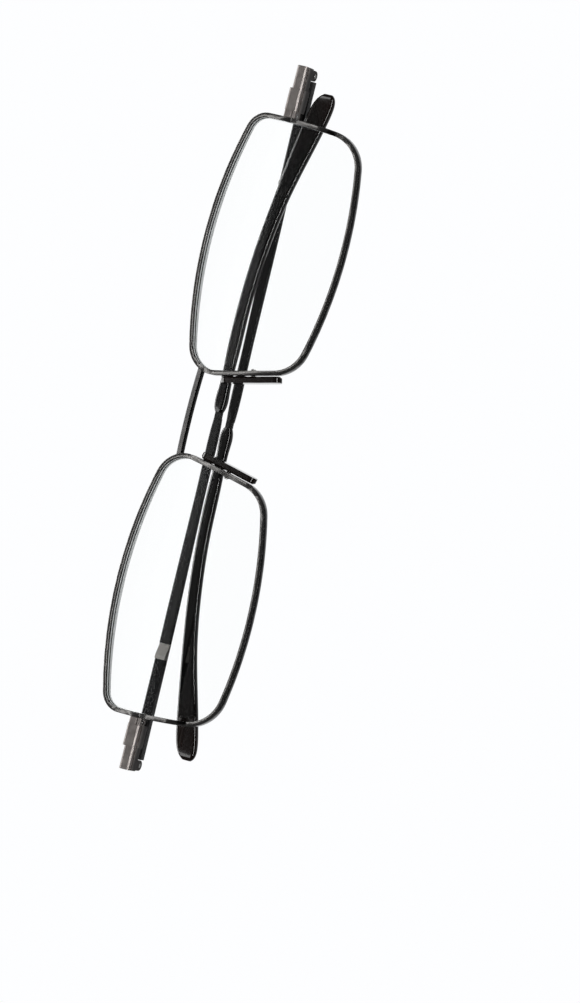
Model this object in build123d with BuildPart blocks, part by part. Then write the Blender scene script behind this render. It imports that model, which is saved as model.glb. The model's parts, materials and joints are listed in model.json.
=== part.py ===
"""Folding reading glasses: metal full-rim front, spring-hinged temples folded behind the lenses.

Frame: +X wearer's left, +Y towards the wearer's face, +Z up; the front faces -Y.
Origin: midway between the two nose pads. Lengths are in millimetres.
Paired pieces are modelled on the wearer's left (+X) and mirrored for the right.
"""
from build123d import *
from math import cos, radians, sin
import os

# Overall layout
HALF_WIDTH = 65.0       # centre plane to the outer end of each endpiece
HINGE_Z = 5.2           # height of the hinge line above the nose pads' centre
FRONT_Y = -1.45         # front face of the endpiece collars

# Eyewires and lenses
LENS_X = 31.3           # optical centre, across
LENS_Z = HINGE_Z - 3.7  # optical centre, height
BASE_RADIUS = 220.0     # base curve that the rims and lenses follow
RIM_SAG = 1.26          # how far the temporal rim lies behind the rim's most forward point
RIM_INSET = 0.3         # temporal rim behind the collar's front face
RIM_WIDTH = 0.85
RIM_DEPTH = 1.4
GROOVE_DEPTH = 0.35
GROOVE_WIDTH = 0.55
LENS_FIT = 0.02
LENS_THICKNESS = 2.0
LENS_BACK_RADIUS = 380.0
RIM_SPLIT = 0.14        # cut in the eyewire inside the closing block

# Rim outline: four arcs (start corner, a point on the arc) and the corner radii; heights from HINGE_Z
BROW_TEMPORAL = (55.4, 7.0)
BROW_MIDDLE = (31.0, 10.26)
BROW_NASAL = (6.55, 6.8)
NASAL_MIDDLE = (8.45, -3.4)
LOWER_NASAL = (10.8, -13.7)
LOWER_MIDDLE = (33.0, -17.67)
LOWER_TEMPORAL = (54.0, -14.8)
TEMPORAL_MIDDLE = (55.25, -3.9)
CORNER_RADII = {BROW_TEMPORAL: 3.8, BROW_NASAL: 5.5, LOWER_NASAL: 7.0, LOWER_TEMPORAL: 7.5}

# Bridge bar
BRIDGE_Z = HINGE_Z + 4.8
BRIDGE_Y = FRONT_Y + 1.15
BRIDGE_BOW = 0.5
BRIDGE_HEIGHT = 1.15
BRIDGE_DEPTH = 1.2
BRIDGE_CHAMFER = 0.25
BRIDGE_REACH = 8.6      # half the bar's length before its ends are cut to the rims

# Closing block and endpiece
LUG_START = 54.2
COLLAR_START = 56.7
COLLAR_END = 60.75
COLLAR_HEIGHT = 2.35
COLLAR_DEPTH = 3.6
BLOCK_HEIGHT = 1.9
BLOCK_SETBACK = 0.45
BLOCK_BACK = 3.5        # rear face of the outer block, from FRONT_Y
LUG_HEIGHT = 2.3
LUG_FRONT = 0.15
LUG_BACK = 2.3
LUG_SPLIT_Z = -0.4      # split between the closing block's halves, from HINGE_Z
LOCK_SCREW_X = 55.95
LOCK_SCREW_Y = FRONT_Y + 1.2
LOCK_SCREW_RADIUS = 0.3
LOCK_HEAD_RADIUS = 0.48
LOCK_HEAD_HEIGHT = 0.22

# Hinge
PIVOT_X = 63.9
PIVOT_Y = FRONT_Y + 4.65
KNUCKLE_RADIUS = 0.95
EYE_THICKNESS = 0.8
KNUCKLE_GAP = 0.05
PIN_RADIUS = 0.38
PIN_CLEARANCE = 0.04
PIN_HEAD_RADIUS = 0.61
PIN_HEAD_HEIGHT = 0.26

# Spring housing on the temple (distances s run from the pivot along the folded temple)
OUTER_OFFSET = 1.1      # pivot to the temple's outer face
HOUSING_START = 1.05
HOUSING_END = 19.5
HOUSING_HEIGHT = 2.0
HOUSING_THICKNESS = 1.2
PLUG_END = 22.4
BORE_RADIUS = 0.4
SHOULDER_END = 2.0      # end wall that the spring presses on
ROD_RADIUS = 0.19
HEAD_START = 12.0
HEAD_END = 12.9
HEAD_RADIUS = 0.37
SPRING_RADIUS = 0.29
SPRING_WIRE = 0.08      # half the wire's width; the wire is eight-sided
SPRING_SIDES = 8
SPRING_TURNS = 14

# Temple bar and tip
BAR_THICKNESS = 0.8
BAR_UNDER_HOUSING = 0.5
BAR_END = 64.0
TIP_START = 65.1
TIP_ROUNDING = 0.6
TIP_LIFT = 0.1          # the sleeve's centre above the core wire's
TEMPLE_LENGTH = 125.0
BEND_START = 80.0       # the tip is straight, bends down on one arc, then runs straight again
BEND_END = 110.0
BEND_RADIUS = 132.0
LINE_Z = 0.2            # height of the temple's centre line above the hinge line
RISE_FROM = 20.0
RISE = {"left": -0.0061, "right": 0.0115}      # each temple's slight set, up or down
REST_ANGLE = {"left": -2.2, "right": 1.1}      # degrees off the lens plane when folded
CORE_HEIGHT = 0.9
CORE_THICKNESS = 0.6
CORE_END = 118.0
NECK_HEIGHT = 1.3
NECK_THICKNESS = 0.7
NECK_OVERLAP = 0.3      # length of the neck inside the bar's end

# Nose pads
PAD_X = 8.1
PAD_TILT = 14.6
PAD_LENGTH = 11.8
PAD_WIDTH = 2.4
PAD_THICKNESS = 1.15
PAD_EDGE = 0.3
PAD_GAP = 0.16          # between the pad and the eyewire's outside, whose curve it follows
PAD_PIVOT_Y = 0.65
INSERT_LENGTH = 6.0
INSERT_WIDTH = 1.2
INSERT_THICKNESS = 0.36
BOSS_RADIUS = 0.42
BRACKET_START = 0.8     # measured along the pad's normal from its mid-plane
BRACKET_END = 1.85
BRACKET_HALF_HEIGHT = 0.5
PAD_SCREW_RADIUS = 0.2
PAD_HEAD_RADIUS = 0.38
PAD_HEAD_HEIGHT = 0.24

os.makedirs("parts", exist_ok=True)
vertex_y = FRONT_Y + RIM_INSET - RIM_SAG
outer_face_y = PIVOT_Y + OUTER_OFFSET
bar_mid_y = outer_face_y - BAR_THICKNESS / 2
half_lug = LUG_HEIGHT / 2
knuckle_reach = PIVOT_Y - FRONT_Y - BLOCK_BACK + 0.2


def write(part, name):
    part.label = name
    export_step(part, f"parts/{name}.step")


def write_pair(part, name):
    """Write the wearer's left piece and its mirror image."""
    write(part, f"left_{name}")
    with BuildPart() as mirrored:
        add(mirror(part, about=Plane.YZ))
    write(mirrored.part, f"right_{name}")


def write_folded(part, name, side):
    """Swing a temple piece, modelled parallel to the front, to its folded rest angle."""
    with BuildPart() as swung:
        add(part.rotate(Axis((PIVOT_X, PIVOT_Y, 0), (0, 0, 1)), REST_ANGLE[side]))
        if side == "right":
            mirror(swung.part, about=Plane.YZ, mode=Mode.REPLACE)
    write(swung.part, f"{side}_{name}")


def above_hinge(point):
    return (point[0], HINGE_Z + point[1])


# ---------------------------------------------------------------- eyewires and lenses
with BuildLine() as rim_sides:
    ThreePointArc(*[above_hinge(p) for p in (BROW_TEMPORAL, BROW_MIDDLE, BROW_NASAL)])
    ThreePointArc(*[above_hinge(p) for p in (BROW_NASAL, NASAL_MIDDLE, LOWER_NASAL)])
    ThreePointArc(*[above_hinge(p) for p in (LOWER_NASAL, LOWER_MIDDLE, LOWER_TEMPORAL)])
    ThreePointArc(*[above_hinge(p) for p in (LOWER_TEMPORAL, TEMPORAL_MIDDLE, BROW_TEMPORAL)])


def outline_prism(grow=0.0):
    """The rim outline as a prism along Y, with each arc's radius grown or shrunk."""
    with BuildPart() as prism:
        with BuildSketch(Plane.XZ) as outline:
            Rectangle(200, 200)
            for arc in rim_sides.edges():
                with Locations(arc.arc_center):
                    Circle(arc.radius + grow, mode=Mode.INTERSECT)
            for corner, radius in CORNER_RADII.items():
                nearest = outline.sketch_local.vertices().sort_by_distance(above_hinge(corner))[0]
                fillet(nearest, radius + grow)
        extrude(amount=12, both=True)
    return prism.part


def curved_ring(outside, inside, front, back):
    """A ring between two offsets of the rim outline, and between two depths behind the base curve."""
    with BuildPart() as ring:
        add(outline_prism(outside))
        add(outline_prism(inside), mode=Mode.SUBTRACT)
        with Locations((LENS_X, vertex_y + BASE_RADIUS, LENS_Z)):
            Sphere(BASE_RADIUS - front, mode=Mode.INTERSECT)
            Sphere(BASE_RADIUS - back, mode=Mode.SUBTRACT)
    return ring.part


groove_front = (RIM_DEPTH - GROOVE_WIDTH) / 2
groove_back = (RIM_DEPTH + GROOVE_WIDTH) / 2
with BuildPart() as left_rim:
    add(curved_ring(0.0, -RIM_WIDTH, 0.0, RIM_DEPTH))
    with Locations((LUG_START, FRONT_Y, HINGE_Z + LUG_SPLIT_Z)):
        Box(4, 6, RIM_SPLIT, mode=Mode.SUBTRACT)
    add(curved_ring(GROOVE_DEPTH - RIM_WIDTH, -RIM_WIDTH - 0.3, groove_front, groove_back), mode=Mode.SUBTRACT)
write_pair(left_rim.part, "rim")

with BuildPart() as left_lens:
    add(outline_prism(-RIM_WIDTH - LENS_FIT))
    with Locations((LENS_X, vertex_y + BASE_RADIUS, LENS_Z)):
        Sphere(BASE_RADIUS - 0.1, mode=Mode.INTERSECT)
    with Locations((LENS_X, vertex_y + 0.1 + LENS_THICKNESS + LENS_BACK_RADIUS, LENS_Z)):
        Sphere(LENS_BACK_RADIUS, mode=Mode.SUBTRACT)
    add(curved_ring(GROOVE_DEPTH - RIM_WIDTH - 2 * LENS_FIT, -RIM_WIDTH - 0.4, groove_front + 0.05,
                    groove_back - 0.05))
write_pair(left_lens.part, "lens")

# ---------------------------------------------------------------- bridge
bridge_front = BRIDGE_Y - BRIDGE_DEPTH / 2
bridge_back = BRIDGE_Y + BRIDGE_DEPTH / 2
with BuildPart() as bridge:
    with BuildSketch(Plane.XY.offset(BRIDGE_Z - BRIDGE_HEIGHT / 2)):
        with BuildLine():
            for at_y in (bridge_front, bridge_back):
                ThreePointArc((-BRIDGE_REACH, at_y), (0, at_y - BRIDGE_BOW), (BRIDGE_REACH, at_y))
            Line((-BRIDGE_REACH, bridge_front), (-BRIDGE_REACH, bridge_back))
            Line((BRIDGE_REACH, bridge_front), (BRIDGE_REACH, bridge_back))
        make_face()
    extrude(amount=BRIDGE_HEIGHT)
    chamfer(bridge.edges().filter_by(GeomType.CIRCLE), BRIDGE_CHAMFER)
    add(outline_prism(), mode=Mode.SUBTRACT)
    add(mirror(outline_prism(), about=Plane.YZ), mode=Mode.SUBTRACT)
write(bridge.part, "bridge")


# ---------------------------------------------------------------- closing blocks
def lock_half(z_low, z_high):
    """One half of the block that closes the split eyewire, soldered to the rim's outside."""
    with BuildPart() as half:
        with BuildSketch(Plane.XY.offset(HINGE_Z + z_low)):
            with Locations((LUG_START, FRONT_Y + LUG_FRONT)):
                Rectangle(COLLAR_START - LUG_START, LUG_BACK - LUG_FRONT, align=(Align.MIN, Align.MIN))
        extrude(amount=z_high - z_low)
        chamfer(half.edges().filter_by(Axis.X).group_by(Axis.Y)[0], 0.2)
        add(outline_prism(), mode=Mode.SUBTRACT)
        with Locations((LOCK_SCREW_X, LOCK_SCREW_Y, HINGE_Z)):
            Cylinder(LOCK_SCREW_RADIUS + 0.01, 4, mode=Mode.SUBTRACT)
    return half


left_lock_upper = lock_half(LUG_SPLIT_Z + RIM_SPLIT / 2, half_lug)
write_pair(left_lock_upper.part, "rim_lock_upper")

left_lock_lower = lock_half(-half_lug, LUG_SPLIT_Z - RIM_SPLIT / 2)
with BuildPart() as left_lock_lower_bored:
    add(left_lock_lower.part)
    with Locations((LOCK_SCREW_X, LOCK_SCREW_Y, HINGE_Z - half_lug)):
        Cylinder(LOCK_HEAD_RADIUS + 0.03, 2 * LOCK_HEAD_HEIGHT + 0.06, mode=Mode.SUBTRACT)
write_pair(left_lock_lower_bored.part, "rim_lock_lower")

with BuildPart() as left_lock_screw:
    with BuildSketch(Plane.XY.offset(HINGE_Z - half_lug + 0.02)):
        with Locations((LOCK_SCREW_X, LOCK_SCREW_Y)):
            Circle(LOCK_HEAD_RADIUS)
    extrude(amount=LOCK_HEAD_HEIGHT)
    with BuildSketch(Plane.XY.offset(HINGE_Z - half_lug + 0.02)):
        with Locations((LOCK_SCREW_X, LOCK_SCREW_Y)):
            Circle(LOCK_SCREW_RADIUS)
    extrude(amount=LUG_HEIGHT - 0.25)
    with Locations((LOCK_SCREW_X, LOCK_SCREW_Y, HINGE_Z - half_lug + 0.02)):
        Box(0.9, 0.13, 0.2, mode=Mode.SUBTRACT)
write_pair(left_lock_screw.part, "rim_lock_screw")


# ---------------------------------------------------------------- endpieces with knuckles
def endpiece_block(x_start, x_end, front, back, height, groove_at, groove_width, groove_depth):
    """A bar along X: chamfered front edges and a lengthwise groove in its top and underside."""
    with BuildPart() as block:
        with BuildSketch(Plane.YZ.offset(x_start)):
            with Locations((FRONT_Y + front, HINGE_Z)):
                Rectangle(back - front, height, align=(Align.MIN, Align.CENTER))
            for side in (-1, 1):
                with Locations((FRONT_Y + groove_at + groove_width / 2, HINGE_Z + side * height / 2)):
                    Rectangle(groove_width, 2 * groove_depth, mode=Mode.SUBTRACT)
        extrude(amount=x_end - x_start)
        chamfer(block.edges().filter_by(Axis.X).group_by(Axis.Y)[0], 0.3, 0.22)
    return block.part


with BuildPart() as left_endpiece:
    add(endpiece_block(COLLAR_START, COLLAR_END, 0.0, COLLAR_DEPTH, COLLAR_HEIGHT, 0.95, 0.5, 0.28))
    add(endpiece_block(COLLAR_END, HALF_WIDTH, BLOCK_SETBACK, BLOCK_BACK, BLOCK_HEIGHT, 1.2, 0.5, 0.22))
    for low, high in ((EYE_THICKNESS / 2 + KNUCKLE_GAP, BLOCK_HEIGHT / 2),
                      (-BLOCK_HEIGHT / 2, -EYE_THICKNESS / 2 - KNUCKLE_GAP)):
        with BuildSketch(Plane.XY.offset(HINGE_Z + low)):
            with Locations((PIVOT_X, PIVOT_Y)):
                Circle(KNUCKLE_RADIUS)
                Rectangle(2 * KNUCKLE_RADIUS, knuckle_reach, align=(Align.CENTER, Align.MAX))
        extrude(amount=high - low)
    with Locations((PIVOT_X, PIVOT_Y, HINGE_Z)):
        Cylinder(PIN_RADIUS + 0.01, 4, mode=Mode.SUBTRACT)
    with Locations((PIVOT_X, PIVOT_Y, HINGE_Z + BLOCK_HEIGHT / 2)):
        Cylinder(PIN_HEAD_RADIUS + 0.03, 0.44, mode=Mode.SUBTRACT)
write_pair(left_endpiece.part, "endpiece")

with BuildPart() as left_hinge_screw:
    with BuildSketch(Plane.XY.offset(HINGE_Z - BLOCK_HEIGHT / 2 - 0.05)):
        with Locations((PIVOT_X, PIVOT_Y)):
            Circle(PIN_RADIUS)
    extrude(amount=BLOCK_HEIGHT - 0.1)
    with BuildSketch(Plane.XY.offset(HINGE_Z + BLOCK_HEIGHT / 2 - 0.21)):
        with Locations((PIVOT_X, PIVOT_Y)):
            Circle(PIN_HEAD_RADIUS)
    extrude(amount=PIN_HEAD_HEIGHT)
    fillet(left_hinge_screw.edges().filter_by(GeomType.CIRCLE).sort_by(Axis.Z)[-1], 0.12)
    with Locations((PIVOT_X, PIVOT_Y, HINGE_Z + BLOCK_HEIGHT / 2 + 0.05)):
        Box(1.4, 0.15, 0.24, mode=Mode.SUBTRACT)
write_pair(left_hinge_screw.part, "hinge_screw")

# ---------------------------------------------------------------- spring plungers
rod_plane = Plane((PIVOT_X, PIVOT_Y, HINGE_Z), x_dir=(0, 1, 0), z_dir=(-1, 0, 0))
with BuildPart() as plunger:
    with BuildSketch(Plane.XY.offset(HINGE_Z - EYE_THICKNESS / 2)):
        with Locations((PIVOT_X, PIVOT_Y)):
            Circle(KNUCKLE_RADIUS - 0.02)
    extrude(amount=EYE_THICKNESS)
    with BuildSketch(rod_plane.offset(0.6)):
        RectangleRounded(0.5, 0.6, 0.12)
    extrude(amount=HOUSING_START - 0.1 - 0.6)
    with BuildSketch(rod_plane.offset(0.8)):
        Circle(ROD_RADIUS)
    extrude(amount=HEAD_END - 0.8)
    with BuildSketch(rod_plane.offset(HEAD_START)):
        Circle(HEAD_RADIUS)
    extrude(amount=HEAD_END - HEAD_START)
    with Locations((PIVOT_X, PIVOT_Y, HINGE_Z)):
        Cylinder(PIN_RADIUS + PIN_CLEARANCE, 4, mode=Mode.SUBTRACT)

spring_length = HEAD_START - SHOULDER_END - 2 * SPRING_WIRE - 0.04
with BuildPart() as spring:
    with BuildLine() as coil:
        Helix(spring_length / SPRING_TURNS, spring_length, SPRING_RADIUS)
    with BuildSketch(Plane(coil.line @ 0, z_dir=coil.line % 0)):
        RegularPolygon(SPRING_WIRE, SPRING_SIDES)
    sweep()
spring_seat = rod_plane.offset(SHOULDER_END + SPRING_WIRE + 0.02)

# ---------------------------------------------------------------- spring housings on the temples
housing_plane = Plane((PIVOT_X, outer_face_y - BAR_UNDER_HOUSING, HINGE_Z), x_dir=(-1, 0, 0), z_dir=(0, -1, 0))
with BuildPart() as housing:
    with BuildSketch(housing_plane):
        with Locations((HOUSING_START, 0)):
            Rectangle(HOUSING_END - HOUSING_START, HOUSING_HEIGHT, align=(Align.MIN, Align.CENTER))
    extrude(amount=HOUSING_THICKNESS)
    chamfer(housing.edges().filter_by(Axis.X).group_by(Axis.Y)[0], 0.28)
    fillet(housing.faces().sort_by(Axis.X)[-1].edges().filter_by(Axis.Z), 0.18)
    with BuildSketch(rod_plane.offset(SHOULDER_END)):
        Circle(BORE_RADIUS)
    extrude(amount=30, mode=Mode.SUBTRACT)
    with BuildSketch(rod_plane):
        Circle(ROD_RADIUS + 0.04)
    extrude(amount=5, mode=Mode.SUBTRACT)

with BuildPart() as end_plug:
    with BuildSketch(Plane.XY.offset(HINGE_Z - HOUSING_HEIGHT / 2 - 0.02)):
        with BuildLine():
            back = outer_face_y - BAR_UNDER_HOUSING
            Polyline((PIVOT_X - HOUSING_END, back), (PIVOT_X - HOUSING_END, back - HOUSING_THICKNESS),
                     (PIVOT_X - HOUSING_END - 0.7, back - HOUSING_THICKNESS),
                     (PIVOT_X - PLUG_END, back - 0.42), (PIVOT_X - PLUG_END, back), close=True)
        make_face()
    extrude(amount=HOUSING_HEIGHT + 0.04)
    fillet(end_plug.edges().filter_by(Axis.Z).group_by(Axis.X)[0], 0.12)
    with BuildSketch(rod_plane.offset(HOUSING_END - 3.0)):
        Circle(BORE_RADIUS - 0.01)
    extrude(amount=3.0)


# ---------------------------------------------------------------- temple bars and tips
def line_height(s, side):
    """Height of the temple's centre line above the hinge line, at distance s from the pivot."""
    height = LINE_Z + RISE[side] * max(0.0, s - RISE_FROM)
    bent = min(max(s, BEND_START), BEND_END) - BEND_START
    height -= bent ** 2 / (2 * BEND_RADIUS)
    if s > BEND_END:
        height -= (s - BEND_END) * (BEND_END - BEND_START) / BEND_RADIUS
    return height


def edge_points(stations, side, sign):
    return [(PIVOT_X - s, HINGE_Z + line_height(s, side) + sign * half) for s, half in stations]


BAR_STATIONS = ((PLUG_END, 1.06), (33.0, 1.02), (45.0, 0.88), (54.0, 0.84), (62.0, 0.83), (BAR_END, 0.7))
CORE_STATIONS = tuple((s, CORE_HEIGHT / 2) for s in (BAR_END, 72.0, 80.0, 88.0, 96.0, 104.0, 111.0, CORE_END))
TIP_SECTIONS = (
    (TIP_START, 0.78, 1.35), (65.8, 1.02, 1.58), (69.0, 1.1, 1.6), (76.0, 1.14, 1.6), (84.0, 1.16, 1.6),
    (92.0, 1.2, 1.6), (98.0, 1.26, 1.6), (104.0, 1.38, 1.6), (109.0, 1.6, 1.6), (115.0, 1.95, 1.6),
    (120.0, 2.15, 1.6), (122.4, 2.08, 1.56), (124.0, 1.72, 1.35), (TEMPLE_LENGTH, 0.85, 0.8))


def strip(stations, side, at_y, thickness):
    """A plate between an upper and a lower edge curve, from at_y towards the front."""
    with BuildPart() as plate:
        with BuildSketch(Plane.XZ.offset(-at_y)):
            with BuildLine():
                upper = Spline(*edge_points(stations, side, 1))
                lower = Spline(*edge_points(stations, side, -1))
                Line(upper @ 0, lower @ 0)
                Line(upper @ 1, lower @ 1)
            make_face()
        extrude(amount=thickness)
    return plate.part


def temple_bar(side):
    """Flat tapered bar, a short neck, and the core wire that runs on inside the tip."""
    with BuildPart() as bar:
        with BuildSketch(Plane.XZ.offset(-outer_face_y)):
            with BuildLine():
                near = (PIVOT_X - HOUSING_START, HINGE_Z)
                far = (PIVOT_X - PLUG_END, HINGE_Z + line_height(PLUG_END, side))
                Polyline((near[0], near[1] + 1.0), (far[0], far[1] + 1.06), (far[0], far[1] - 1.06),
                         (near[0], near[1] - 1.0), close=True)
            make_face()
        extrude(amount=BAR_UNDER_HOUSING)
        add(strip(BAR_STATIONS, side, outer_face_y, BAR_THICKNESS))
        chamfer(bar.edges().group_by(Axis.Y)[0], 0.15)
        add(strip(CORE_STATIONS, side, bar_mid_y + CORE_THICKNESS / 2, CORE_THICKNESS))
        neck = ((BAR_END - NECK_OVERLAP, NECK_HEIGHT / 2), (TIP_START, NECK_HEIGHT / 2))
        add(strip(neck, side, bar_mid_y + NECK_THICKNESS / 2, NECK_THICKNESS))
    return bar.part


def temple_tip(side):
    """Moulded sleeve over the core wire, bent down behind the ear and widened at its end."""
    with BuildPart() as tip:
        for s, half_height, thickness in TIP_SECTIONS:
            rounding = min(TIP_ROUNDING, thickness / 2 - 0.02)
            with BuildSketch(Plane.YZ.offset(PIVOT_X - s)):
                with Locations((bar_mid_y, HINGE_Z + line_height(s, side) + TIP_LIFT)):
                    RectangleRounded(thickness, 2 * half_height, rounding)
        loft()
        pocket = tuple((s + (0.05 if s == CORE_END else -1.0 if s == BAR_END else 0.0), half + 0.02)
                       for s, half in CORE_STATIONS)
        add(strip(pocket, side, bar_mid_y + CORE_THICKNESS / 2 + 0.02, CORE_THICKNESS + 0.04),
            mode=Mode.SUBTRACT)
    return tip.part


for side in ("left", "right"):
    write_folded(plunger.part, "plunger", side)
    write_folded(spring_seat.location * spring.part, "plunger_spring", side)
    write_folded(housing.part, "hinge_housing", side)
    write_folded(end_plug.part, "housing_end_plug", side)
    write_folded(temple_bar(side), "temple_bar", side)
    write_folded(temple_tip(side), "temple_tip", side)

# ---------------------------------------------------------------- nose pads and their brackets
pad_plane = Plane((PAD_X, 0, 0), x_dir=(0, 1, 0), z_dir=(cos(radians(PAD_TILT)), 0, sin(radians(PAD_TILT))))

def pad_peg(radius, start, length):
    """A round peg along the pad's normal, on the pad screw's axis."""
    with BuildPart() as peg:
        with BuildSketch(pad_plane.offset(start)):
            with Locations((PAD_PIVOT_Y, 0)):
                Circle(radius)
        extrude(amount=length)
    return peg.part


with BuildPart() as insert_blank:
    with BuildSketch(pad_plane.offset(-INSERT_THICKNESS / 2)):
        SlotOverall(INSERT_LENGTH, INSERT_WIDTH, rotation=90)
    extrude(amount=INSERT_THICKNESS)
    add(pad_peg(BOSS_RADIUS, -INSERT_THICKNESS / 2, BRACKET_START - 0.05 + INSERT_THICKNESS / 2))

with BuildPart() as left_pad_insert:
    add(insert_blank.part)
    add(pad_peg(PAD_SCREW_RADIUS + 0.04, 0.0, 3.0), mode=Mode.SUBTRACT)
write_pair(left_pad_insert.part, "pad_insert")

with BuildPart() as left_nose_pad:
    with BuildSketch(pad_plane.offset(-3.0)):
        SlotOverall(PAD_LENGTH, PAD_WIDTH, rotation=90)
    extrude(amount=6.0)
    add(outline_prism(PAD_GAP + PAD_THICKNESS), mode=Mode.INTERSECT)
    add(outline_prism(PAD_GAP), mode=Mode.SUBTRACT)
    chamfer(left_nose_pad.edges().group_by(SortBy.LENGTH)[-1], PAD_EDGE)
    add(insert_blank.part, mode=Mode.SUBTRACT)
write_pair(left_nose_pad.part, "nose_pad")

with BuildPart() as left_pad_bracket:
    with BuildSketch(pad_plane.offset(BRACKET_START)):
        with Locations((PAD_PIVOT_Y - 0.7, 0)):
            Rectangle(1.25, 2 * BRACKET_HALF_HEIGHT, align=(Align.MIN, Align.CENTER))
    extrude(amount=BRACKET_END - BRACKET_START)
    fillet(left_pad_bracket.edges().group_by(Axis.Y)[-1], 0.2)
    add(pad_peg(PAD_SCREW_RADIUS + 0.01, 0.0, 5.0), mode=Mode.SUBTRACT)
    add(curved_ring(0.05, -RIM_WIDTH - 2.0, -3.0, RIM_DEPTH), mode=Mode.SUBTRACT)
    add(curved_ring(-RIM_WIDTH, -RIM_WIDTH - 2.0, -3.0, 1.8), mode=Mode.SUBTRACT)
write_pair(left_pad_bracket.part, "pad_bracket")

with BuildPart() as left_pad_screw:
    add(pad_peg(PAD_SCREW_RADIUS, 0.1, BRACKET_END - 0.1))
    add(pad_peg(PAD_HEAD_RADIUS, BRACKET_END, PAD_HEAD_HEIGHT))
    fillet(left_pad_screw.edges().filter_by(GeomType.CIRCLE).sort_by(Axis.X)[-1], 0.1)
write_pair(left_pad_screw.part, "pad_screw")
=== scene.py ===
"""Looks of the folding reading glasses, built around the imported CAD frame. Lengths are in metres.

Frame: +X wearer's left, +Y towards the wearer's face, +Z up; the front of the glasses faces -Y.
"""
import json
import math

import bpy
from mathutils import Matrix, Vector


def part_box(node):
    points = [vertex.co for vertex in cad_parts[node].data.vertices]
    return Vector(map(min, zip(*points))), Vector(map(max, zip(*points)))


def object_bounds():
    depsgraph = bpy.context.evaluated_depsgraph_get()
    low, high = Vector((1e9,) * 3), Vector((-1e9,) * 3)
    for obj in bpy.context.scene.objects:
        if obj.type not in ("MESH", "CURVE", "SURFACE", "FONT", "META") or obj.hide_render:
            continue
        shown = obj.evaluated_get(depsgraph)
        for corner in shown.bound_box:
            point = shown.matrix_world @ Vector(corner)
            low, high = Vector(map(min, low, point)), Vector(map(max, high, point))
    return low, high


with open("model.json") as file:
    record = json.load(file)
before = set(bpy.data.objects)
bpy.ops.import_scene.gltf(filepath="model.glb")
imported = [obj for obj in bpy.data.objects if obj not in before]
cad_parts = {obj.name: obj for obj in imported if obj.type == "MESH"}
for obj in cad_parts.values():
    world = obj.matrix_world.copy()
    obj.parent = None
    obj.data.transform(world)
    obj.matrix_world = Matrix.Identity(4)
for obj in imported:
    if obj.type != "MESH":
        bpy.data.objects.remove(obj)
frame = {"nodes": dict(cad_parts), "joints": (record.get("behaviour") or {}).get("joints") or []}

MM = 0.001
SIDES = ("left", "right")
RIM_ROUNDING = 0.24 * MM

cad_box = [list(corner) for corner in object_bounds()]
nodes = frame["nodes"]
hinge = next(j for j in frame["joints"] if j["name"] == "left_temple_hinge")
HINGE_Z = hinge["pos_m"][2]
FRONT_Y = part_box("left_endpiece")[0].y


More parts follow.
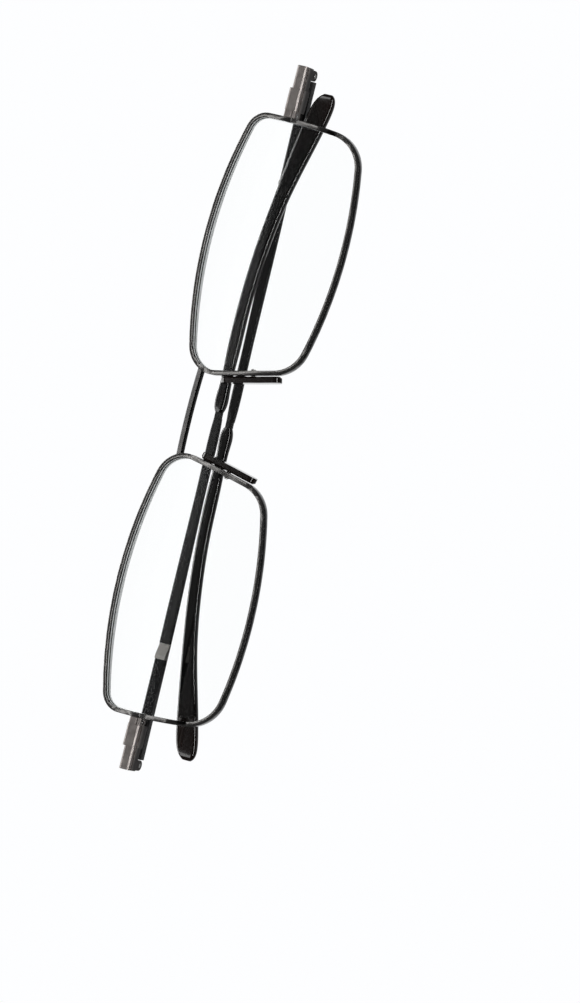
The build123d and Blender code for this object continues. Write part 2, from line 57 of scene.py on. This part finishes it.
# ---------------------------------------------------------------- material building
class Look:
    """A Principled material with short calls for the nodes that feed it."""

    def __init__(self, name, colour, metallic=0.0, roughness=0.4):
        self.material = bpy.data.materials.new(name)
        self.material.use_nodes = True
        self.tree = self.material.node_tree
        self.bsdf = self.tree.nodes["Principled BSDF"]
        self.bsdf.inputs["Base Color"].default_value = (*colour, 1)
        self.bsdf.inputs["Metallic"].default_value = metallic
        self.bsdf.inputs["Roughness"].default_value = roughness
        self.place = self.node("ShaderNodeTexCoord").outputs["Object"]

    def node(self, kind, **settings):
        made = self.tree.nodes.new(kind)
        for key, value in settings.items():
            setattr(made, key, value)
        return made

    def feed(self, value, socket):
        """Link an output, or set a number or colour."""
        if isinstance(value, bpy.types.NodeSocket):
            self.tree.links.new(value, socket)
        else:
            socket.default_value = value

    def noise(self, size, detail=4.0, stretch=(1, 1, 1), roughness=0.55):
        """Noise with features of about this size, stretched along the axes."""
        mapping = self.node("ShaderNodeMapping")
        mapping.inputs["Scale"].default_value = [1 / (size * s) for s in stretch]
        self.feed(self.place, mapping.inputs["Vector"])
        noise = self.node("ShaderNodeTexNoise")
        noise.inputs["Scale"].default_value = 1
        noise.inputs["Detail"].default_value = detail
        noise.inputs["Roughness"].default_value = roughness
        self.feed(mapping.outputs[0], noise.inputs["Vector"])
        return noise.outputs["Fac"]

    def between(self, factor, low, high, start=0.3, stop=0.7):
        """A number that runs from low to high as the factor goes from start to stop."""
        span = self.node("ShaderNodeMapRange")
        for key, value in (("Value", factor), ("From Min", start), ("From Max", stop),
                           ("To Min", low), ("To Max", high)):
            self.feed(value, span.inputs[key])
        return span.outputs["Result"]

    def mix(self, factor, one, two):
        """A colour between two."""
        mixer = self.node("ShaderNodeMix", data_type="RGBA")
        self.feed(factor, mixer.inputs["Factor"])
        for value, socket in ((one, mixer.inputs[6]), (two, mixer.inputs[7])):
            self.feed((*value, 1) if isinstance(value, tuple) else value, socket)
        return mixer.outputs[2]

    def clouded(self, factor, one, two):
        """A colour that a noise moves between two."""
        return self.mix(self.between(factor, 0, 1), one, two)

    def size_of(self, number):
        """A number without its sign."""
        made = self.node("ShaderNodeMath", operation="ABSOLUTE")
        self.feed(number, made.inputs[0])
        return made.outputs[0]

    def part_of(self, vector, letter):
        """One part of a place or a direction, along an axis of the row frame."""
        split = self.node("ShaderNodeSeparateXYZ")
        self.feed(vector, split.inputs[0])
        return split.outputs[letter]

    def colour(self, value):
        self.feed(value, self.bsdf.inputs["Base Color"])

    def roughness(self, value):
        self.feed(value, self.bsdf.inputs["Roughness"])

    def surface(self, height, depth, rounding=0.0):
        """Bump of this depth, over edges that are rounded by this radius."""
        bump = self.node("ShaderNodeBump")
        bump.inputs["Strength"].default_value = 1
        bump.inputs["Distance"].default_value = depth
        self.feed(height, bump.inputs["Height"])
        if rounding:
            bevel = self.node("ShaderNodeBevel", samples=4)
            bevel.inputs["Radius"].default_value = rounding
            self.feed(bevel.outputs[0], bump.inputs["Normal"])
        self.feed(bump.outputs[0], self.bsdf.inputs["Normal"])

    def coat(self, weight, roughness):
        self.bsdf.inputs["Coat Weight"].default_value = weight
        self.bsdf.inputs["Coat Roughness"].default_value = roughness

    def on(self, *names):
        for name in names:
            data = nodes[name].data
            data.materials.clear()
            data.materials.append(self.material)


def rounded(name, radius):
    """Round a node's sharp edges by this radius."""
    weld = nodes[name].modifiers.new("weld", "WELD")
    weld.merge_threshold = 0.001 * MM
    bevel = nodes[name].modifiers.new("round", "BEVEL")
    bevel.width = radius
    bevel.segments = 3
    bevel.limit_method = "ANGLE"
    bevel.angle_limit = math.radians(50)
    bevel.use_clamp_overlap = True
    bevel.harden_normals = True


def pair(*names):
    return [f"{side}_{name}" for side in SIDES for name in names]


# ---------------------------------------------------------------- metals
def gunmetal(name, face_low, face_high, edge):
    """Plated metal with painted light: its front and back faces are painted brighter than round its edges,
    where the edge colour is painted shade.
    """
    look = Look(name, face_high, metallic=1.0)
    grain = look.noise(0.12 * MM, detail=3)
    facing = look.part_of(look.node("ShaderNodeNewGeometry").outputs["Normal"], "Y")
    # Painted shade: 1 on faces that face along Y, falling to 0 round the edges, which get the dark painted
    # edge colour.
    face_vs_painted_edge_shade = look.between(look.size_of(facing), 0, 1, start=0.78, stop=0.96)
    face = look.clouded(look.noise(3.5 * MM, detail=2), face_low, face_high)
    look.colour(look.mix(face_vs_painted_edge_shade, edge, face))
    look.roughness(look.between(grain, 0.12, 0.2))
    look.surface(grain, 0.0015 * MM)
    return look


# The last colour in each gunmetal call is the painted shade round the edges.
rim = gunmetal("rim_gunmetal", (0.25, 0.244, 0.238), (0.38, 0.37, 0.36), (0.03, 0.03, 0.03))
rim.on(*pair("rim"))
bridge = gunmetal("bridge_gunmetal", (0.13, 0.128, 0.126), (0.2, 0.195, 0.19), (0.04, 0.04, 0.04))
bridge.on("bridge", *pair("pad_bracket"))

end = Look("endpiece_grey", (0.36, 0.325, 0.31), metallic=1.0)
end_grain = end.noise(0.09 * MM, detail=4)
end_tone = end.noise(1.6 * MM, detail=3)
# Painted light: the endpiece's front is painted lit, and its rear, from 1.5 to 2.6 mm behind the front, is
# painted in shade.
painted_rear_shade = end.between(end.part_of(end.place, "Y"), 0, 1, start=FRONT_Y + 1.5 * MM, stop=FRONT_Y + 2.6 * MM)
end_lit = end.clouded(end_tone, (0.27, 0.245, 0.232), (0.40, 0.365, 0.35))
end_shaded = end.clouded(end_tone, (0.045, 0.04, 0.039), (0.07, 0.064, 0.062))
end.colour(end.mix(painted_rear_shade, end_lit, end_shaded))
end.roughness(end.between(end_grain, 0.3, 0.46))
end.surface(end_grain, 0.004 * MM, rounding=0.07 * MM)
end.on(*pair("endpiece", "rim_lock_upper", "rim_lock_lower"))

housing = Look("housing_black", (0.02, 0.02, 0.021), metallic=0.65)
housing_grain = housing.noise(0.1 * MM, detail=4, stretch=(5, 1, 1))
housing.colour(housing.clouded(housing_grain, (0.008, 0.008, 0.0085), (0.022, 0.022, 0.023)))
housing.roughness(housing.between(housing_grain, 0.22, 0.36))
housing.surface(housing_grain, 0.002 * MM, rounding=0.12 * MM)
housing.on(*pair("hinge_housing"))

plug = Look("plug_silver", (0.62, 0.60, 0.57), metallic=1.0)
plug_brush = plug.noise(0.06 * MM, detail=5, stretch=(24, 1, 1))
plug.colour(plug.clouded(plug_brush, (0.50, 0.48, 0.455), (0.70, 0.68, 0.65)))
plug.roughness(plug.between(plug_brush, 0.26, 0.42))
plug.surface(plug_brush, 0.004 * MM, rounding=0.06 * MM)
plug.on(*pair("housing_end_plug"))

bar = Look("bar_black", (0.008, 0.008, 0.0085))
bar_grain = bar.noise(0.08 * MM, detail=4, stretch=(4, 1, 1))
bar_tone = bar.noise(6 * MM, detail=2)
bar.colour(bar.clouded(bar_tone, (0.004, 0.004, 0.0045), (0.010, 0.010, 0.0105)))
bar.roughness(bar.between(bar_grain, 0.16, 0.26))
bar.surface(bar_grain, 0.002 * MM, rounding=0.16 * MM)
bar.on(*pair("temple_bar"))

screw = Look("screw_steel", (0.68, 0.67, 0.66), metallic=1.0)
screw_turned = screw.noise(0.05 * MM, detail=4)
screw.colour(screw.clouded(screw_turned, (0.58, 0.57, 0.56), (0.74, 0.73, 0.72)))
screw.roughness(screw.between(screw_turned, 0.12, 0.26))
screw.surface(screw_turned, 0.002 * MM, rounding=0.04 * MM)
screw.on(*pair("hinge_screw", "rim_lock_screw", "pad_screw"))

steel = Look("plunger_steel", (0.5, 0.49, 0.48), metallic=1.0)
steel_drawn = steel.noise(0.08 * MM, detail=4, stretch=(10, 1, 1))
steel.colour(steel.clouded(steel_drawn, (0.42, 0.41, 0.40), (0.6, 0.59, 0.58)))
steel.roughness(steel.between(steel_drawn, 0.24, 0.4))
steel.surface(steel_drawn, 0.003 * MM, rounding=0.04 * MM)
steel.on(*pair("plunger", "plunger_spring", "pad_insert"))

for name in pair("rim"):
    rounded(name, RIM_ROUNDING)

# ---------------------------------------------------------------- plastics
tip = Look("tip_gloss", (0.014, 0.011, 0.010), roughness=0.12)
tip_cloud = tip.noise(4 * MM, detail=3, stretch=(2, 1, 1))
tip_grain = tip.noise(0.25 * MM, detail=3)
end_warmth = tip.between(tip.size_of(tip.part_of(tip.place, "X")), 0, 1, start=48 * MM, stop=60 * MM)
tip_dark = tip.clouded(tip_cloud, (0.003, 0.003, 0.003), (0.007, 0.0065, 0.0065))
tip_warm = tip.clouded(tip_cloud, (0.007, 0.004, 0.0035), (0.015, 0.008, 0.0065))
tip.colour(tip.mix(end_warmth, tip_dark, tip_warm))
tip.roughness(tip.between(tip_grain, 0.05, 0.1))
tip.surface(tip_grain, 0.0006 * MM)
tip.coat(0.9, 0.03)
tip.on(*pair("temple_tip"))

pad = Look("pad_smoke", (0.03, 0.022, 0.018), roughness=0.16)
pad_cloud = pad.noise(1.8 * MM, detail=3)
pad_grain = pad.noise(0.2 * MM, detail=3)
pad.colour(pad.clouded(pad_cloud, (0.006, 0.0045, 0.004), (0.014, 0.010, 0.0085)))
pad.roughness(pad.between(pad_grain, 0.06, 0.14))
pad.surface(pad_grain, 0.0015 * MM)
pad.coat(0.5, 0.06)
pad.on(*pair("nose_pad"))


# ---------------------------------------------------------------- lenses
def lens_look():
    """Clear polished faces that mirror more at a slant, and a ground, frosted edge."""
    look = Look("lens_clear", (1, 1, 1), metallic=1.0, roughness=0.015)
    out = look.tree.nodes["Material Output"]
    clear = look.node("ShaderNodeBsdfTransparent")
    clear.inputs["Color"].default_value = (0.997, 1.0, 0.998, 1)
    fresnel = look.node("ShaderNodeFresnel")
    fresnel.inputs["IOR"].default_value = 1.12
    smear = look.noise(7 * MM, detail=3)
    look.roughness(look.between(smear, 0.01, 0.05))
    faces = look.node("ShaderNodeMixShader")
    look.feed(fresnel.outputs[0], faces.inputs[0])
    look.feed(clear.outputs[0], faces.inputs[1])
    look.feed(look.bsdf.outputs[0], faces.inputs[2])
    ground = look.node("ShaderNodeBsdfPrincipled")
    ground.inputs["Roughness"].default_value = 0.55
    chalk = look.noise(0.15 * MM, detail=4)
    chalky = look.clouded(chalk, (0.62, 0.64, 0.64), (0.8, 0.82, 0.82))
    look.feed(chalky, ground.inputs["Base Color"])
    facing = look.part_of(look.node("ShaderNodeNewGeometry").outputs["True Normal"], "Y")
    wall = look.between(look.size_of(facing), 1, 0, start=0.45, stop=0.6)
    both = look.node("ShaderNodeMixShader")
    look.feed(wall, both.inputs[0])
    look.feed(faces.outputs[0], both.inputs[1])
    look.feed(ground.outputs[0], both.inputs[2])
    look.feed(both.outputs[0], out.inputs["Surface"])
    return look


lens_look().on(*pair("lens"))


# ---------------------------------------------------------------- stage
def floor_look():
    """Pale and matte from above, and not there when seen from below."""
    look = Look("floor_pale", (0.86, 0.86, 0.855), roughness=0.7)
    look.colour(look.mix(look.noise(40 * MM, detail=2), (0.85, 0.85, 0.845), (0.88, 0.88, 0.875)))
    under = look.node("ShaderNodeNewGeometry").outputs["Backfacing"]
    clear = look.node("ShaderNodeBsdfTransparent")
    mixer = look.node("ShaderNodeMixShader")
    look.feed(under, mixer.inputs[0])
    look.feed(look.bsdf.outputs[0], mixer.inputs[1])
    look.feed(clear.outputs[0], mixer.inputs[2])
    look.feed(mixer.outputs[0], look.tree.nodes["Material Output"].inputs["Surface"])
    return look.material


FLOOR_HALF = 1.5
floor_z = cad_box[0][2] - 0.02 * MM
floor_mesh = bpy.data.meshes.new("floor")
floor_corners = [(x * FLOOR_HALF, y * FLOOR_HALF, floor_z) for x, y in ((-1, -1), (1, -1), (1, 1), (-1, 1))]
floor_mesh.from_pydata(floor_corners, [], [(0, 1, 2, 3)])
floor_mesh.materials.append(floor_look())
floor = bpy.data.objects.new("floor", floor_mesh)
bpy.context.scene.collection.objects.link(floor)
floor.visible_shadow = False
floor.visible_diffuse = False
floor.visible_glossy = False

# ---------------------------------------------------------------- camera
TILT = math.radians(25)
ACROSS = (0.247, 0.969)       # parts of +X along the picture's right and up directions
PICTURE_HEIGHT = 179.7 * MM
DISTANCE = 1.0
AIM_OFFSET = (12.99 * MM, -14.87 * MM)   # from the front's middle to the picture's centre, right and up

back = Vector((0, -math.cos(TILT), -math.sin(TILT)))
side = Vector((0, math.sin(TILT), -math.cos(TILT)))
right = ACROSS[0] * Vector((1, 0, 0)) + ACROSS[1] * side
up = ACROSS[1] * Vector((1, 0, 0)) - ACROSS[0] * side
middle = Vector((0, FRONT_Y + 1.3 * MM, HINGE_Z - 0.57 * MM))
aim = middle + AIM_OFFSET[0] * right + AIM_OFFSET[1] * up

camera_data = bpy.data.cameras.new("camera")
camera_data.sensor_width = 36
camera_data.lens = camera_data.sensor_width * DISTANCE / PICTURE_HEIGHT
camera_data.clip_start = 0.01
camera = bpy.data.objects.new("camera", camera_data)
bpy.context.scene.collection.objects.link(camera)
turn = Matrix((right, up, back)).transposed().to_4x4()
camera.matrix_world = Matrix.Translation(aim + DISTANCE * back) @ turn
bpy.context.scene.camera = camera


# ---------------------------------------------------------------- light
def softbox(name, place, length, width, power):
    """An area light that faces the object, its length along X as far as that allows."""
    data = bpy.data.lights.new(name, "AREA")
    data.shape = "RECTANGLE"
    data.size = length
    data.size_y = width
    data.energy = power
    light = bpy.data.objects.new(name, data)
    bpy.context.scene.collection.objects.link(light)
    away = Vector(place).normalized()
    long_side = (Vector((1, 0, 0)) - away.x * away).normalized()
    facing = Matrix((long_side, away.cross(long_side), away)).transposed().to_4x4()
    light.matrix_world = Matrix.Translation(place) @ facing


softbox("brow_box", (0.0, -0.22, 0.58), 0.9, 0.30, 4.2)
softbox("chin_strip", (0.05, -0.42, -0.46), 0.9, 0.06, 1.8)
softbox("front_strip", (0.0, -0.66, 0.36), 0.9, 0.04, 0.22)
softbox("rear_box", (0.2, 0.6, 0.45), 0.7, 0.3, 2.0)

world = bpy.data.worlds.new("studio")
world.use_nodes = True
bpy.context.scene.world = world
sky = world.node_tree
background = sky.nodes["Background"]
direction = sky.nodes.new("ShaderNodeTexCoord")
parts = sky.nodes.new("ShaderNodeSeparateXYZ")
sky.links.new(direction.outputs["Generated"], parts.inputs[0])


def fade(axis, start, stop, low):
    """Smooth change of brightness with one part of the direction."""
    made = sky.nodes.new("ShaderNodeMapRange")
    made.interpolation_type = "SMOOTHSTEP"
    sky.links.new(parts.outputs[axis], made.inputs["Value"])
    for key, value in (("From Min", start), ("From Max", stop), ("To Min", low), ("To Max", 1.0)):
        made.inputs[key].default_value = value
    return made.outputs["Result"]


both = sky.nodes.new("ShaderNodeMath")
both.operation = "MULTIPLY"
sky.links.new(fade("Y", -0.1, 0.4, 0.05), both.inputs[0])
sky.links.new(fade("Z", -0.5, -0.08, 0.12), both.inputs[1])
sky.links.new(both.outputs[0], background.inputs["Strength"])
background.inputs["Color"].default_value = (0.985, 0.99, 1.0, 1)
bpy.context.scene.view_settings.view_transform = "Standard"
